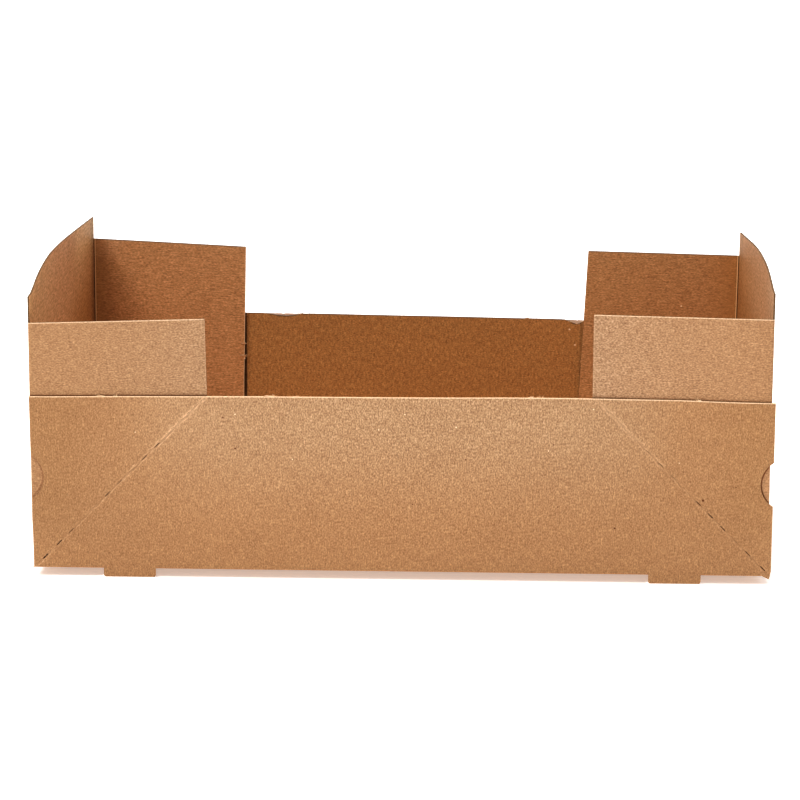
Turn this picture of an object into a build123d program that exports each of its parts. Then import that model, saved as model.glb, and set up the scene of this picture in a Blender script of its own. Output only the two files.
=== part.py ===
from build123d import *
import os

# Kraft board carrier tray, one die-cut blank folded and glued at its four corners.
# Millimetres. X runs along the long walls, Y from front to back, Z up.
# The origin is at the middle of the tray, on the surface that its foot tabs stand on.

# Overall size, over the outer faces of the board
tray_length = 263.5
tray_depth = 165.0

# Heights, each measured up from the underside of the base panel
long_wall_height = 63.0
wing_height = 92.0
shoulder_height = 100.5
arch_rise = 5.2

# The board, and how it behaves at a scored fold
board = 0.6
fold_inner_radius = 0.3
bead_radius = 0.42
bead_offset = 0.24

# End walls and their glue wings. The long walls' free ends stand past the end walls by the setback.
end_wall_setback = 0.6
shoulder_length = 4.5
wing_length = 62.4
wing_lift = 1.2
wing_corner_radius = 1.0

# Glue joint between a wing and the long wall outside it
glue_thickness = 0.3
glue_margin = 7.0

# Diagonal collapse creases of the long walls, at 45 degrees, with slits cut along them
crease_width = 1.2
crease_depth = 0.12
slit_length = 3.2
slit_width = 0.4
slit_pitch = 6.35
first_slit = 4.6
slit_end_margin = 3.0

# Half-moon thumb notches in the free ends of the long walls
notch_radius = 9.4
notch_depth = 4.5
notch_height = 33.5

# Foot tabs, cut out of the base panel and left standing on the long walls
foot_height = 3.0
foot_length = 18.6
foot_inset = 25.0
foot_corner_radius = 0.8
foot_slot_clearance = 0.2

# Nicks, the stubs left where the blank was held in its sheet while it was cut
nick_length = 1.2
nick_height = 0.3
wall_nick_places = (46.0, 105.0)
wing_nick_height = 46.0

# Sizes that follow from those above
half_length = tray_length / 2
half_depth = tray_depth / 2
base_bottom = foot_height
base_top = base_bottom + board
fold_outer_radius = fold_inner_radius + board
fold_middle_radius = fold_inner_radius + board / 2
long_wall_top = base_bottom + long_wall_height
wing_bottom = base_top + wing_lift
wing_top = base_bottom + wing_height
shoulder_top = base_bottom + shoulder_height
arch_top = shoulder_top + arch_rise
end_wall_face = half_length - end_wall_setback
wing_outer_face = half_depth - board - glue_thickness
wing_end = end_wall_face - wing_length
end_wall_half_width = wing_outer_face - fold_outer_radius
crease_length = long_wall_height * 2 ** 0.5
above_everything = arch_top + board
SIDES = (-1, 1)


def folded_strip(*points):
    """A strip of board, seen edge on, along points in the middle of its thickness."""
    middle_line = FilletPolyline(*points, radius=fold_middle_radius)
    return trace(middle_line, line_width=board)


def channel_section(half_width, top):
    """The edge-on section of the base panel with a wall standing at each end."""
    wall = half_width - board / 2
    floor = base_bottom + board / 2
    return folded_strip((-wall, top), (-wall, floor), (wall, floor), (wall, top))


def inner_bead(half_width):
    """The two raised beads that a scoring rule leaves inside the folds of a channel."""
    across = half_width - board - bead_offset
    up = base_top + bead_offset
    return Sketch() + Locations((-across, up), (across, up)) * Circle(bead_radius)


def long_walls():
    """Base panel, front wall and back wall, folded from one strip across the tray."""
    section = channel_section(half_depth, long_wall_top)
    walls = extrude(Plane.YZ * section, half_length, both=True)
    base_edge = end_wall_face - fold_outer_radius
    beads = extrude(Plane.YZ * inner_bead(half_depth), base_edge, both=True)
    # The base panel ends where the end walls' folds begin
    past_edge = half_length - base_edge
    base_end = Box(past_edge, 2 * (half_depth - fold_outer_radius), 2 * fold_outer_radius)
    for side in SIDES:
        end_middle = side * (base_edge + past_edge / 2)
        walls -= Pos(end_middle, 0, base_bottom + board) * base_end
    return walls + beads


def end_wall_outline():
    """Side view of an end wall: upright edges, a level shoulder at each end, an arch between."""
    edge = end_wall_half_width
    arch_end = edge - shoulder_length
    outline = Polyline(
        (-arch_end, shoulder_top), (-edge, shoulder_top), (-edge, 0), (edge, 0),
        (edge, shoulder_top), (arch_end, shoulder_top),
    )
    arch = ThreePointArc((arch_end, shoulder_top), (0, arch_top), (-arch_end, shoulder_top))
    return make_face(outline + arch)


def end_walls():
    """Base panel and both end walls, folded from one strip along the tray."""
    section = channel_section(end_wall_face, above_everything)
    walls = extrude(Plane.XZ * section, end_wall_half_width, both=True)
    beads = extrude(Plane.XZ * inner_bead(end_wall_face), end_wall_half_width, both=True)
    outline = extrude(Plane.YZ * end_wall_outline(), half_length, both=True)
    return (walls + beads) & outline


def wing(side, face):
    """One glue wing with the rounded fold that carries it on the end wall."""
    wall_middle = end_wall_face - board / 2
    wing_middle = wing_outer_face - board / 2
    strip = folded_strip(
        (side * wall_middle, face * (end_wall_half_width - board)),
        (side * wall_middle, face * wing_middle),
        (side * wing_end, face * wing_middle),
    )
    bead_centre = (
        side * (end_wall_face - board - bead_offset),
        face * (wing_outer_face - board - bead_offset),
    )
    plan = strip + Pos(*bead_centre) * Circle(bead_radius)
    solid = Pos(0, 0, wing_bottom) * extrude(plan, wing_top - wing_bottom)
    top_edges = solid.edges().filter_by(Axis.Y).group_by(Axis.Z)[-1]
    free_corner = top_edges.sort_by(lambda edge: abs(edge.center().X))[0]
    return fillet(free_corner, wing_corner_radius)


def glue_patch(side, face):
    """The triangle of dried glue between a wing and the end of its long wall."""
    outer = half_length - glue_margin
    top = long_wall_top - glue_margin
    leg = long_wall_height - glue_margin * (2 + 2 ** 0.5)
    patch = make_face(Polyline(
        (side * outer, top), (side * (outer - leg), top), (side * outer, top - leg), close=True,
    ))
    return extrude(Plane.XZ.offset(-face * wing_outer_face) * patch, -face * glue_thickness)


def crease_frame(side, face):
    """A plane on a long wall's outer face: x along the crease from the corner, z outwards."""
    corner = (side * half_length, face * half_depth, base_bottom)
    return Plane(origin=corner, x_dir=(-side, 0, 1), z_dir=(0, face, 0))


def crease_groove(side, face):
    """The shallow round groove that the rule presses along a collapse crease."""
    radius = (crease_width ** 2 / 4 + crease_depth ** 2) / (2 * crease_depth)
    rule = Cylinder(radius, crease_length, rotation=(0, 90, 0))
    middle = (crease_length / 2, 0, radius - crease_depth)
    return crease_frame(side, face) * Pos(*middle) * rule


def crease_slits(side, face):
    """The row of cut slits along a collapse crease, through the long wall only."""
    last_slit = crease_length - slit_length / 2 - slit_end_margin
    count = int((last_slit - first_slit) / slit_pitch) + 1
    centres = [(first_slit + number * slit_pitch, 0) for number in range(count)]
    slits = Sketch() + Locations(*centres) * Rectangle(slit_length, slit_width)
    return extrude(crease_frame(side, face) * slits, -board)


def thumb_notch(side, face):
    """The half-moon cut in the free end of a long wall, down to the wing behind it."""
    centre = (side * (half_length + notch_radius - notch_depth), base_bottom + notch_height)
    disc = Plane.XZ.offset(-face * half_depth) * Pos(*centre) * Circle(notch_radius)
    return extrude(disc, face * board)


def foot_outline(side):
    """Front view of a foot tab, its lower corners rounded."""
    middle = side * (half_length - foot_inset - foot_length / 2)
    height = foot_height + fold_outer_radius
    tab = Pos(middle, height / 2) * Rectangle(foot_length, height)
    lower_corners = tab.vertices().group_by(Axis.Y)[0]
    return fillet(lower_corners, foot_corner_radius)


def foot_tab(side, face):
    """A foot tab, flush with the long wall above it."""
    plane = Plane.XZ.offset(-face * half_depth)
    return extrude(plane * foot_outline(side), face * board)


def foot_slot(side, face):
    """What the foot tab leaves open in the base panel and its fold."""
    middle = side * (half_length - foot_inset - foot_length / 2)
    wall_inner_face = half_depth - board
    slot = Box(foot_length + 2 * foot_slot_clearance, foot_height, 4 * fold_outer_radius)
    return Pos(middle, face * (wall_inner_face - foot_height / 2), base_bottom) * slot


def wall_nicks(side, face):
    """Stubs on the top edge of a long wall, at set distances from its middle."""
    stub = Box(nick_length, board, 2 * nick_height)
    middle_of_board = half_depth - board / 2
    return [
        Pos(side * place, face * middle_of_board, long_wall_top) * stub
        for place in wall_nick_places
    ]


def wing_nick(side, face):
    """A stub on the free end of a wing."""
    stub = Box(2 * nick_height, board, nick_length)
    wing_middle = wing_outer_face - board / 2
    return Pos(side * wing_end, face * wing_middle, base_bottom + wing_nick_height) * stub


tray = long_walls() + end_walls()
for side in SIDES:
    for face in SIDES:
        tray -= foot_slot(side, face)
        tray += foot_tab(side, face)
        tray -= thumb_notch(side, face)
        tray -= crease_groove(side, face)
        tray -= crease_slits(side, face)
        tray += wing(side, face)
        tray += glue_patch(side, face)
        tray += wall_nicks(side, face)
        tray += wing_nick(side, face)

os.makedirs("parts", exist_ok=True)
export_step(tray, "parts/tray_box.step")
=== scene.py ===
import bmesh
import bpy
import math
import random
from mathutils import Matrix, Vector


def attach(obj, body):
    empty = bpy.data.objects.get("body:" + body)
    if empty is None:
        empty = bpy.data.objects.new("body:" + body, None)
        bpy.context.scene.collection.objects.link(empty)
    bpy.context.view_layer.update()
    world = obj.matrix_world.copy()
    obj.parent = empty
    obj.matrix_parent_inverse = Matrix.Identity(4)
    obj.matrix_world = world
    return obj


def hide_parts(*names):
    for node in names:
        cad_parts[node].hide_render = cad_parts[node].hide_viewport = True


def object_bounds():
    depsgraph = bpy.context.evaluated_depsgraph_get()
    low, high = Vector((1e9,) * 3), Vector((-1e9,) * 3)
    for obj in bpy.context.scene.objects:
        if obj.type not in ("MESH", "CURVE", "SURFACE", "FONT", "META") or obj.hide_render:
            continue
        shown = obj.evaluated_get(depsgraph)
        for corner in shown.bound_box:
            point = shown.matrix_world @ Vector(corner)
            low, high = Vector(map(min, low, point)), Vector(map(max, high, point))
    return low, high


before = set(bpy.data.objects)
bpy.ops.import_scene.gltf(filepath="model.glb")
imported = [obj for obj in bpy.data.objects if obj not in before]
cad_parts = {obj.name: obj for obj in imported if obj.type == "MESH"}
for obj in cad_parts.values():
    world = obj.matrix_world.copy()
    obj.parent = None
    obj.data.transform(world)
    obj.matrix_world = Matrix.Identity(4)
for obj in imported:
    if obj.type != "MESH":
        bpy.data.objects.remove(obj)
cad_low, cad_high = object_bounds()

# Lengths below are in millimetres, as in the tray's own drawing, and MM brings them to metres.
MM = 0.001

# The tray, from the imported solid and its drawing. The LAYER_PLACE lies between a long wall and the
# wing that is glued inside it, and tells the two apart.
HALF_LENGTH = cad_high.x / MM
HALF_DEPTH = cad_high.y / MM
BOARD = 0.6
FOLD_RADIUS = 0.9
FOOT_HEIGHT = 3.0
WALL_HEIGHT = 63.0
WING_HEIGHT = 92.0
WING_LENGTH = 62.4
WING_CORNER = 1.0
SETBACK = 0.6
SHOULDER_TOP = 103.5
ARCH_RISE = 5.2
ARCH_HALF_WIDTH = 76.2
GLUE = 0.3
WALL_TOP = FOOT_HEIGHT + WALL_HEIGHT
WING_TOP = FOOT_HEIGHT + WING_HEIGHT
END_FACE = HALF_LENGTH - SETBACK
WING_FACE = HALF_DEPTH - BOARD - GLUE
LAYER_PLACE = HALF_DEPTH - BOARD - GLUE / 2
FOOT_START = 25.0
FOOT_LENGTH = 18.6
NOTCH_RADIUS = 9.4
NOTCH_DEPTH = 4.5
NOTCH_PLACE = FOOT_HEIGHT + 33.5
FIRST_SLIT = 4.6
SLIT_PITCH = 6.35

# A length too short to be one of the tray's, the slack allowed at a foot tab or a nick, and a
# distance past which no edge has any effect
HAIR = 0.01
SLACK = 0.05
FAR = 99.0

# How the tray stands after it was popped open by hand, read at each corner.
# spread is how far out the corner stands from SPREAD_HEIGHT upwards, lift how far above the drawing
# it stands at READ_HEIGHT, and lean how far it leans outwards for each millimetre of height. droop
# is how much the wing's top rises for each millimetre of its length, curl how far its free end
# stands off its wall, and reach how much farther in that end lies. slant is how far the end's top
# lies nearer to the corner than its foot, turned about the SLANT_HEIGHT.
READ_HEIGHT = 100
SPREAD_HEIGHT = 20
SLANT_HEIGHT = 48
CORNERS = {
    ("left", "front"): dict(
        spread=0.585, lift=-3.55, lean=0.0, droop=0.0334, curl=0.1, slant=2.0, reach=1.1),
    ("right", "front"): dict(
        spread=-0.6, lift=0.6, lean=0.0008, droop=0.0182, curl=0.1, slant=0.0, reach=0.72),
    ("left", "back"): dict(
        spread=0.0, lift=2.6, lean=-0.0019, droop=-0.0423, curl=1.3, slant=-1.7, reach=-0.6),
    ("right", "back"): dict(
        spread=-0.6, lift=-2.5, lean=0.0109, droop=0.023, curl=0.5, slant=3.6, reach=0.65),
}

# How far the back wall leans inwards for each millimetre of height
BACK_WALL_LEAN = 0.0037

# How far the long walls' top edges stand above the drawing's, at places along them
FRONT_WALL_TOP = (
    (-127, -0.45), (-120, -0.35), (-113, -0.25), (-95, 0.0), (-49, 0.38), (-21, 0.45), (8, 0.58),
    (22, 0.7), (36, 0.9), (60, 0.97), (75, 0.83), (99, 0.65), (113, 0.18), (124, 0.0), (130, -0.05),
)
BACK_WALL_TOP = (
    (-69, 1.25), (-39, 1.1), (-22, 0.88), (-6, 0.67), (11, 0.5), (27, 0.28), (43, 0.03), (55, -0.05),
    (59, -0.2), (69, -0.5),
)

# How far to the right of their drawn places stand the front foot tabs, the nicks of the front wall
# and the foot of its left end, which starts to move at END_SHIFT_START
FOOT_SHIFT = {"left": 0.7, "right": 0.2}
NICK_SHIFT = {"left": -1.6, "right": 0.0}
END_SHIFT = 0.65
END_SHIFT_START = 100

# The real top edge of each end wall, as heights above the straight line between its two shoulders,
# at places from the front to the back, and how far the wall's middle bows outwards at READ_HEIGHT.
# Closer than CORNER_ZONE to a wing's outer face, only what stands above the wing follows that line.
ARCHES = {
    "left": (
        (-80.7, 0.9), (-74.5, 1.1), (-68, 2.4), (-62, 3.8), (-55.5, 4.85), (-49, 5.55), (-42.6, 6.05),
        (-36, 6.45), (-29, 6.6), (-16, 6.3), (-2, 5.65), (11.6, 4.85), (26, 3.87), (40, 2.9),
        (55.6, 1.85), (71, 0.75), (80.7, 0.1),
    ),
    "right": (
        (-80.7, 0.4), (-77, 0.5), (-73, 1.0), (-68, 1.6), (-64, 2.3), (-58, 3.2), (-54, 3.8),
        (-47, 4.5), (-40.5, 4.95), (-33, 5.25), (-25, 5.4), (-13, 5.55), (4, 5.25), (26, 4.3),
        (47, 3.0), (71, 1.7), (80.7, 1.2),
    ),
}
END_WALL_BOW = {"left": 0.08, "right": 0.38}
CORNER_ZONE = 1.5

# How much squarer than drawn the top corner of a wing's free end is
CORNER_SQUARED = 0.66

# How far open each slit of a crease has stayed, from the foot of the crease upwards, as a share of
# the drawing's width, and how far up the crease its first slit and the others are shifted. A slit's
# edges lie nearer to the crease than SLIT_EDGE, and no slit starts below SLITS_START.
SLITS_OPEN = {
    "left": (1.1, 0.85, 0.55, 0.1, 0.05, 0.6, 0.45, 0.2, 0.6, 0.7, 0.1, 0.05, 0.05),
    "right": (0.8, 0.45, 0.1, 0.65, 0.75, 0.6, 0.04, 0.3, 0.5, 0.2, 0.04, 0.04, 0.04),
}
SLIT_SHIFT = {"left": (1.4, 2.4), "right": (-0.4, 0.9)}
SLIT_SHORTENED = 0.25
SLIT_EDGE = 0.25
SLITS_START = 2

# The share that is left of the depth of the creases' grooves, which lie in the outer GROOVE_ZONE
GROOVE_LEFT = 0.15
GROOVE_ZONE = 0.2

# Damage from handling: dips in the back wall's top edge, as place, half width and depth, which bend
# the wall down to DIP_REACH below its top and tear the outer TORN_RIM where they are deeper than
# TORN_FROM, and the crumpled lower right corner of the front wall, as its inner end, its top, and
# how far its tip went along and up.
BACK_WALL_DIPS = ((-52.6, 10.0, 1.1), (65.8, 4.8, 1.7))
DIP_REACH = 6
TORN_RIM = 0.5
TORN_FROM = 0.3
CRUMPLE_START = 128.6
CRUMPLE_TOP = 5.1
CRUMPLE_SHIFT = (-0.6, -1.2)

# Where tufts of fibre stand: along the tops of the front and back walls, and as place and height at
# the left back wing's end
FRONT_TUFTS = (-106.7, -100.8, -45.1, -36.7, 45.9, 49.1, 104.7)
BACK_TUFTS = (-46.0, 46.0, 63.5, 66.5, 68.5)
WING_TUFTS = ((-68.9, 54.9), (-69.1, 50.0), (-69.1, 49.6))
TUFT_SIZES = {"front": 1.0, "back": 0.8, "wing": 1.3}
TUFT_FIBRES = 14
LONE_FIBRES = 70

# The lips of outer ply that stayed up over the dips: their thickness, and the waves of their ragged
# edges, as height, pitch and start
LIP_THICKNESS = 0.08
RAGGED = ((0.12, 5.1, 0), (0.1, 13.7, 2))

# Flecks in the board's surface, as place and radius: dark ones of bark and pale ones of bleached pulp
DARK_FLECKS = (
    (107.1, -82.5, 30.4, 0.5), (76.1, -82.5, 19.8, 0.4), (118.6, -82.5, 35.4, 0.25),
    (-58.6, -82.5, 47.3, 0.38), (23.1, -82.5, 43.9, 0.34), (54.1, -82.5, 49.4, 0.3),
    (-62.9, -82.5, 58.5, 0.3), (4.3, -82.5, 27.7, 0.27), (55.8, -82.5, 27.2, 0.27),
)
PALE_FLECKS = (
    (-94.1, -82.5, 53.0, 0.22), (98.4, -82.5, 43.6, 0.22), (-58.6, -82.5, 59.6, 0.28),
    (19.6, -82.5, 55.5, 0.3), (-38.3, -82.5, 43.5, 0.27), (1.5, -82.5, 60.0, 0.27),
    (67.9, -82.5, 62.2, 0.26), (52.3, -82.5, 47.2, 0.25), (-7.8, -82.5, 54.4, 0.25),
    (63.1, 81.9, 62.2, 0.5), (65.4, 81.9, 55.6, 0.42), (108.1, 81.0, 73.2, 0.45),
)

# The slivers of the back wall in the shadow of the wings' free ends, as their start, their end and
# the share of light that is left there
WING_END_SHADOWS = ((-69.5, -68.4, 0.3), (67.3, 68.4, 0.84))

# How fine the board is cut: strips along its length and its depth, levels in a long wall's height,
# levels in all, and places across each dip as shares of its half width
STRIPS_ALONG = 32
STRIPS_DEEP = 40
WALL_LEVELS = 10
LEVELS = 15
DIP_CUTS = (-1, -0.6, -0.3, 0, 0.3, 0.6, 1)

# Edges of the board that bend more than this stay sharp.
SHARP_BEND = math.radians(40)

# The camera that the photograph was taken with
CAMERA_PLACE = Vector((33.6, -1095.0, 275.9)) * MM
CAMERA_YAW = -0.03343
CAMERA_PITCH = 0.2046
CAMERA_ROLL = 0.0041
SENSOR = 36.0
FOCAL_LENGTH = 132.13

# The softboxes of the studio, as name, place, size and power, in metres and watts. All look at
# LIGHT_AIM, and the room adds its own even light. TONE_CURVE is the gamma of the view.
SOFTBOXES = (
    ("left_softbox", (-0.703, -0.590, 1.361), 0.6, 14.3),
    ("overhead_softbox", (0, 0.45, 1.5), 0.8, 15.7),
    ("right_softbox", (1.2, 0.8, 1.2), 0.8, 4.6),
)
LIGHT_AIM = (0, 0, 0.05)
ROOM_LIGHT = 0.5
TONE_CURVE = 1 / 1.42


def clamp(value, low=0.0, high=1.0):
    """A value kept from low to high."""
    return max(low, min(high, value))


def smooth(value, start, end):
    """0 at start, 1 at end, flat past both, and an easy slope between them."""
    share = clamp((value - start) / (end - start))
    return share * share * (3 - 2 * share)


# The board's skins, in the order of the tray's finishes

OUTSIDE, INSIDE, CUT = range(3)

# How squarely a face looks along a direction when it counts as facing that way
FACING = 0.6
UPRIGHT = 0.7


def skin_direction(place):
    """The way out of the board at a place in it, across its thickness, or None inside a bead."""
    x, y, z = abs(place.x), abs(place.y), place.z
    in_long_wall = y > LAYER_PLACE
    face = HALF_DEPTH if in_long_wall else WING_FACE
    outwards = Vector((
        0 if in_long_wall else max(0, x - (END_FACE - FOLD_RADIUS)),
        max(0, y - (face - FOLD_RADIUS)),
        max(0, FOOT_HEIGHT + FOLD_RADIUS - z),
    ))
    foot_end = HALF_LENGTH - FOOT_START
    if in_long_wall and foot_end - FOOT_LENGTH - HAIR < x < foot_end + HAIR:
        outwards.z = 0
    if outwards.length < HAIR:
        return None
    return Vector((
        math.copysign(outwards.x, place.x), math.copysign(outwards.y, place.y), -outwards.z,
    )).normalized()


def skin_of(face):
    """Which skin of the board a face is on: the outside, the inside, or the cut edge between them."""
    outwards = skin_direction(face.calc_center_median() / MM)
    if outwards is None:
        return INSIDE
    along = face.normal.dot(outwards)
    if along > FACING:
        return OUTSIDE
    if along < -FACING:
        return INSIDE
    return CUT


def panel_of(face):
    """The panel of the tray that a face belongs to."""
    centre = face.calc_center_median() / MM
    if abs(centre.y) > LAYER_PLACE:
        return "long_wall"
    if abs(centre.y) > WING_FACE - FOLD_RADIUS and centre.z > FOOT_HEIGHT + FOLD_RADIUS:
        return "wing"
    if abs(centre.x) > END_FACE - FOLD_RADIUS:
        return "end_wall"
    return "base"


# Where the board lies on its flat blank

# The grain of the back wall's inside is rounder than the rest, and the end walls' insides coarser,
# by these shares across and along it. Each skin's grain is taken from its own stretch of pattern.
GRAINS = {"long_wall": (0.62, 2.2), "end_wall": (0.55, 0.7)}
SKIN_GAP = 400.0


def place_on_blank(place, face):
    """Where a place lies on the flat blank, before it was folded. Grain runs along the second value."""
    side, front_or_back = math.copysign(1, place.x), math.copysign(1, place.y)
    centre = face.calc_center_median() / MM
    outwards = skin_direction(centre) or Vector((0, 0, -1))
    skin_gap = SKIN_GAP * face.material_index
    if abs(outwards.z) > UPRIGHT:
        return Vector((place.x, place.y, skin_gap))
    if abs(centre.y) > LAYER_PLACE:
        across, along = GRAINS["long_wall"] if face.material_index == INSIDE else (1, 1)
        from_middle = front_or_back * (HALF_DEPTH + along * place.z)
        return Vector((across * place.x, from_middle, skin_gap))
    if abs(outwards.x) > UPRIGHT:
        across, along = GRAINS["end_wall"] if face.material_index == INSIDE else (1, 1)
        return Vector((side * (END_FACE + across * place.z), along * place.y, skin_gap))
    from_corner = END_FACE - abs(place.x)
    return Vector((
        side * (END_FACE + place.z), front_or_back * (WING_FACE + from_corner), skin_gap,
    ))


def near_edges(place, panel, skin):
    """How far a place lies below its panel's top, from its free end, and above the wall outside it."""
    if skin == CUT and place.y > -LAYER_PLACE or skin == INSIDE and panel == "end_wall":
        return Vector((FAR, FAR, FAR))
    if panel == "long_wall":
        torn = place.y > 0 and dip(place.x) > TORN_FROM
        return Vector((FAR if torn else WALL_TOP - place.z, HALF_LENGTH - abs(place.x), FAR))
    if panel == "wing":
        above_wall = FAR
        if skin == OUTSIDE:
            wall_below = settled(Vector((place.x, math.copysign(HALF_DEPTH, place.y), WALL_TOP)))
            above_wall = settled(place).z - wall_below.z
        end_shows = skin == OUTSIDE or place.x < 0 < place.y
        from_end = abs(place.x) - (END_FACE - WING_LENGTH) if end_shows else FAR
        return Vector((WING_TOP - place.z, from_end, above_wall))
    if panel == "end_wall":
        return Vector((SHOULDER_TOP + drawn_arch(place.y) - place.z, FAR, FAR))
    return Vector((FAR, FAR, FAR))


def near_crease(place, panel, skin):
    """How far a place of a long wall lies off its diagonal crease, and how far up along it."""
    if panel != "long_wall" or skin == CUT:
        return Vector((FAR, 0, 0))
    from_end, height = HALF_LENGTH - abs(place.x), place.z - FOOT_HEIGHT
    return Vector(((from_end - height) / math.sqrt(2), (from_end + height) / math.sqrt(2), 0))


# The board's colour over the tray, as shares of the finishes' own red, green and blue. Past the
# outside's even tone, the tones by panel, side and place are painted light and shade.

OUTER_TONE = Vector((0.88, 0.83, 0.745))
BACK_WALL_TONE = Vector((1.0, 0.93, 0.68))
WING_CORNER_SHADE = {"left": Vector((1.0, 0.94, 0.71)), "right": Vector((1.08, 0.99, 0.73))}
WING_TONES = {"left": Vector((1.21, 1.19, 1.10)), "right": Vector((1.13, 1.10, 0.98))}

# Painted light on top of the tone round them: lighter or darker on each side's outer wing, and a
# highlight on the beads
OUTER_WING_TONES = {"left": Vector((0.982, 1.005, 1.055)), "right": Vector((1.033, 1.042, 1.085))}
BEAD_HIGHLIGHTS = {"left": Vector((1.75, 2.0, 2.25, 1.0)), "right": Vector((1.8, 2.1, 2.3, 1.0))}

# Painted light and shade on the inside of each end wall, at its front end, its middle and its back end
END_WALL_TONES = {
    "left": ((1.22, 1.11, 0.92), (1.13, 1.05, 0.94), (0.94, 0.84, 0.66)),
    "right": ((1.05, 1.02, 0.97), (0.98, 0.93, 0.84), (0.93, 0.82, 0.63)),
}

# How close to the corner an inner wing has the corner's painted shade, and from how far off its own tone
CORNER_TONE_END = 1
WING_TONE_START = {"left": 11, "right": 14}

# Painted light left on cut edges, and the share of light painted shade takes from the rim under a tear
CUT_TONES = {"front_wall": 1.1, "front": 0.4, "back_end_wall": 0.3, "back": 0.15}
TORN_SHADE = 0.75

# How strong the grain is. On an inner wing it grows from the corner, and on the outside with the painted
# sheen.
BACK_WALL_GRAIN = 0.84
END_WALL_GRAIN = 0.72
INNER_WING_GRAIN = (0.35, 0.5)
OUTER_WING_GRAIN = (0.76, 0.8)
OUTER_GRAIN = (0.76, 0.6)

# A painted sheen on the outside, a broad highlight strongest at its place along the tray and from its
# top height up. On the long walls it keeps between the creases, out to SHEEN_WIDTH, and grows from
# SHEEN_FOOT to SHEEN_TOP.
PAINTED_SHEEN = Vector((0.05225, 0.1425, 0.26125))
PAINTED_WING_SHEEN = Vector((0.075, 0.220, 0.440))
PAINTED_SHEEN_PLACE = 8
PAINTED_SHEEN_WIDTH = 78
PAINTED_SHEEN_FOOT = -10
PAINTED_SHEEN_TOP = 66
SHEEN_WIDTH = 92
SHEEN_FOOT = 15
SHEEN_TOP = 58

# Drifts of the tone, all painted light and shade, each as its slopes and how much it shifts red,
# green and blue, as shares. A slope runs along one of a spot's three values, the distance from the
# nearer end wall's face, the place in the depth and the height, from nothing at its first number to
# everything at its second, or else between the two shares that follow.
FROM_END, DEEP, HIGH = range(3)
BACK_WALL_DRIFTS = {
    "left": (),
    "right": (
        (((FROM_END, END_FACE - 30, END_FACE - 50), (HIGH, 48, 60)), (0.05, 0.05, 0.05)),
    ),
}
INNER_WING_DRIFTS = {
    "left": (
        (((FROM_END, 12, 4), (HIGH, 84, 94)), (0.15, 0.22, 0.5)),
        (((DEEP, -1, 1), (FROM_END, 8, 16), (FROM_END, 40, 25), (HIGH, 84, 72)), (0.06, 0.06, 0.06)),
    ),
    "right": (
        (((FROM_END, 40, 52),), (0.03, 0.05, 0.07)),
    ),
}
END_WALL_DRIFTS = {
    "left": (
        (((DEEP, 66, 80),), (-0.28, -0.28, -0.28)),
        (((DEEP, -15, 50), (DEEP, 62, 76, 1, 0.2), (HIGH, 90, 72)), (-0.16, -0.25, -0.43)),
        (((DEEP, 20, 45), (HIGH, 88, 98)), (0.2, 0.36, 0.46)),
        (((DEEP, 0, -70),), (0.035, 0.15, 0.23)),
    ),
    "right": (
        (((DEEP, 55, 80),), (-0.1, -0.1, -0.1)),
        (((DEEP, -40, 45), (HIGH, 94, 76)), (-0.14, -0.2, -0.34)),
        (((HIGH, 82, 90),), (0.025, 0.035, 0.04)),
        (((DEEP, -35, -75),), (0.02, 0.1, 0.22)),
    ),
}
OUTER_DRIFTS = (
    (((HIGH, 16, 6),), (0.025, 0.025, 0.025)),
)
FREE_END_DRIFT = (
    ((FROM_END, END_FACE - 105, END_FACE - 125), (HIGH, 5, 30)), (-0.035, -0.045, -0.085),
)
LONG_WALL_DRIFTS = {
    "left": (
        FREE_END_DRIFT,
        (((FROM_END, END_FACE - 80, END_FACE - 112), (HIGH, 8, 22)), (-0.045, -0.045, -0.045)),
    ),
    "right": (FREE_END_DRIFT,),
}


def slope(spot, value, start, end, first=0.0, last=1.0):
    """An easy slope along one value of a spot, from its first share to its last."""
    return first + (last - first) * smooth(spot[value], start, end)


def drifted(tone, place, drifts):
    """A tone after some drifts of painted light and shade, as far as they reach a place."""
    spot = (END_FACE - abs(place.x), place.y, place.z)
    for slopes, shift in drifts:
        share = math.prod(slope(spot, *each) for each in slopes)
        tone = Vector(value * (1 + share * change) for value, change in zip(tone, shift))
    return tone


def cut_tone(place, panel):
    """The tone of the cut edges: painted light on those in front, painted shade on those inside the tray.
    """
    if place.y < -LAYER_PLACE:
        light = CUT_TONES["front_wall"]
    elif place.y < 0:
        light = CUT_TONES["front"]
    else:
        light = CUT_TONES["back_end_wall" if panel == "end_wall" else "back"]
    return (light, light, light, 1.0)


def back_wall_tone(place, side, middle):
    """The tone of a long wall's inside, with painted shade under its torn rim and beside the wings' ends.
    """
    torn = clamp(dip(place.x)) * smooth(place.z, WALL_TOP - TORN_RIM, WALL_TOP)
    light = 1 - TORN_SHADE * torn
    for start, end, left in WING_END_SHADOWS:
        light *= left if start < middle.x < end else 1
    return (*drifted(BACK_WALL_TONE * light, place, BACK_WALL_DRIFTS[side]), BACK_WALL_GRAIN)


def inner_wing_tone(place, side):
    """The tone of a wing's inside, with painted shade at its corner that fades from the corner inwards."""
    share = smooth(END_FACE - abs(place.x), CORNER_TONE_END, WING_TONE_START[side])
    tone = WING_CORNER_SHADE[side].lerp(WING_TONES[side], share)
    least, more = INNER_WING_GRAIN
    return (*drifted(tone, place, INNER_WING_DRIFTS[side]), least + more * share)


def inner_end_tone(place, side):
    """The tone of an end wall's inside, with painted light and shade from its front end to its back end.
    """
    front, central, back = (Vector(tone) for tone in END_WALL_TONES[side])
    share = place.y / HALF_DEPTH
    tone = central.lerp(front if share < 0 else back, clamp(abs(share)))
    return (*drifted(tone, place, END_WALL_DRIFTS[side]), END_WALL_GRAIN)


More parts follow.
